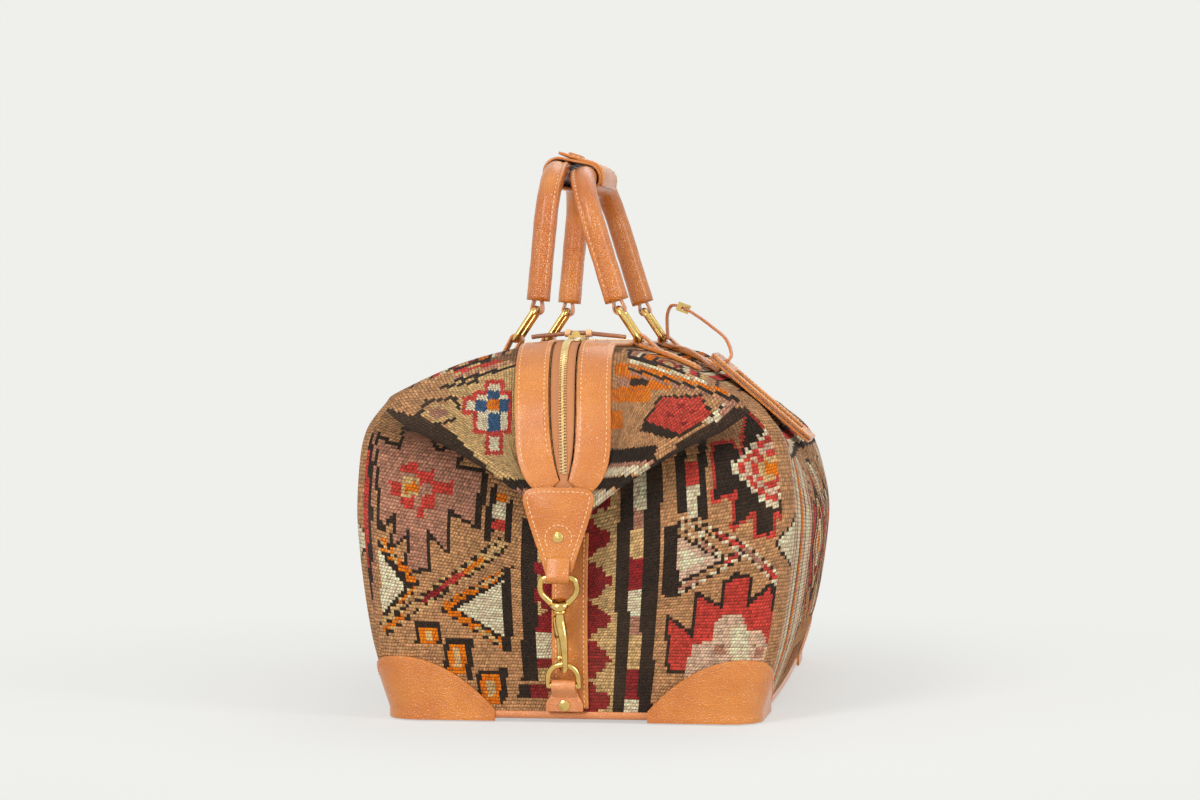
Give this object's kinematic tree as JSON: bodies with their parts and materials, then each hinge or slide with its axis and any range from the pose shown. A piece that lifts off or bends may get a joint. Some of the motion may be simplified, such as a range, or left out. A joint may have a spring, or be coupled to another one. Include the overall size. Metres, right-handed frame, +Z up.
{
  "type": "duffle bag",
  "caption": "Zipped duffle bag of woven kilim with leather trim, folded ends held by snap hooks, rolled leather handles on brass rings, a handle keeper and a luggage tag.",
  "frame": {"origin": "centre of the bounding box, on the floor that the studs stand on", "axes": "+Z up; +Y along the bag's length from the near end to the far end; +X to the right seen from the near end"},
  "size_m": [0.338, 0.5662, 0.4264],
  "materials": {
    "kilim": "flat woven wool",
    "tape": "woven zip tape",
    "leather": "pebbled, semi matt",
    "brass": "polished",
    "window": "clear film"
  },
  "bodies": {
    "bag": {"kilim_body": "kilim", "base_panel": "leather", "base_feet": "brass", "patch_near_right": "leather", "patch_near_left": "leather", "patch_far_right": "leather", "patch_far_left": "leather", "band_right": "leather", "band_left": "leather", "zip_tape": "tape", "zip_teeth": "brass", "end_strip_near": "leather", "end_strip_far": "leather", "end_tab_near": "leather", "end_tab_far": "leather", "tab_rivet_near": "brass", "tab_rivet_far": "brass", "clip_eye_near": "brass", "clip_eye_far": "brass", "dee_ring_near": "brass", "dee_ring_far": "brass", "dee_chape_near": "leather", "dee_chape_far": "leather", "dee_rivet_near": "brass", "dee_rivet_far": "brass", "chape_near_right": "leather", "chape_near_left": "leather", "chape_far_right": "leather", "chape_far_left": "leather", "tag_strap": "leather", "tag_buckle": "brass", "tag_back": "leather", "tag_window": "window", "tag_front": "leather"},
    "zip_near": {"slider_near": "brass", "pull_near": "leather"},
    "zip_far": {"slider_far": "brass", "pull_far": "leather"},
    "ring_pair_left": {"rings_left": "brass"},
    "ring_pair_right": {"rings_right": "brass"},
    "handle_pair": {"handle_right": "leather", "handle_left": "leather", "handle_loops": "leather", "keeper": "leather", "keeper_stud": "leather"},
    "snap_near": {"clip_hook_near": "brass"},
    "bolt_near": {"clip_bolt_near": "brass"},
    "snap_far": {"clip_hook_far": "brass"},
    "bolt_far": {"clip_bolt_far": "brass"}
  },
  "joints": [
    {"name": "zip_near_slide", "type": "slide", "parent": "bag", "child": "zip_near", "axis": [0, -1, 0], "range_m": [0, 0.03]},
    {"name": "zip_far_slide", "type": "slide", "parent": "bag", "child": "zip_far", "axis": [0, 1, 0], "range_m": [0, 0.285]},
    {"name": "ring_left_swing", "type": "hinge", "parent": "bag", "child": "ring_pair_left", "pos_m": [-0.064, 0, 0.2765], "axis": [0, 1, 0], "range_deg": [-8, 8]},
    {"name": "handle_swing", "type": "hinge", "parent": "ring_pair_left", "child": "handle_pair", "pos_m": [-0.048, 0, 0.30045], "axis": [0, 1, 0], "range_deg": [-12, 12]},
    {"name": "ring_right_swing", "type": "hinge", "parent": "bag", "child": "ring_pair_right", "pos_m": [0.032, 0, 0.2765], "axis": [0, 1, 0], "range_deg": [-8, 8]},
    {"name": "snap_near_swivel", "type": "hinge", "parent": "bag", "child": "snap_near", "pos_m": [-0.004, -0.2786, 0.108], "axis": [0, 0.3372, -0.9414], "range_deg": [-9, 14]},
    {"name": "bolt_near_slide", "type": "slide", "parent": "snap_near", "child": "bolt_near", "axis": [0, -0.3372, 0.9414], "range_m": [0, 0.006], "stiffness_N_per_m": 500},
    {"name": "snap_far_swivel", "type": "hinge", "parent": "bag", "child": "snap_far", "pos_m": [0.004, 0.2786, 0.108], "axis": [0, -0.3372, -0.9414], "range_deg": [-9, 14]},
    {"name": "bolt_far_slide", "type": "slide", "parent": "snap_far", "child": "bolt_far", "axis": [0, 0.3372, 0.9414], "range_m": [0, 0.006], "stiffness_N_per_m": 500}
  ],
  "couplings": [
    {"joint": "handle_swing", "follows": "ring_left_swing", "ratio": -1.5},
    {"joint": "ring_right_swing", "follows": "ring_left_swing", "ratio": 1}
  ]
}
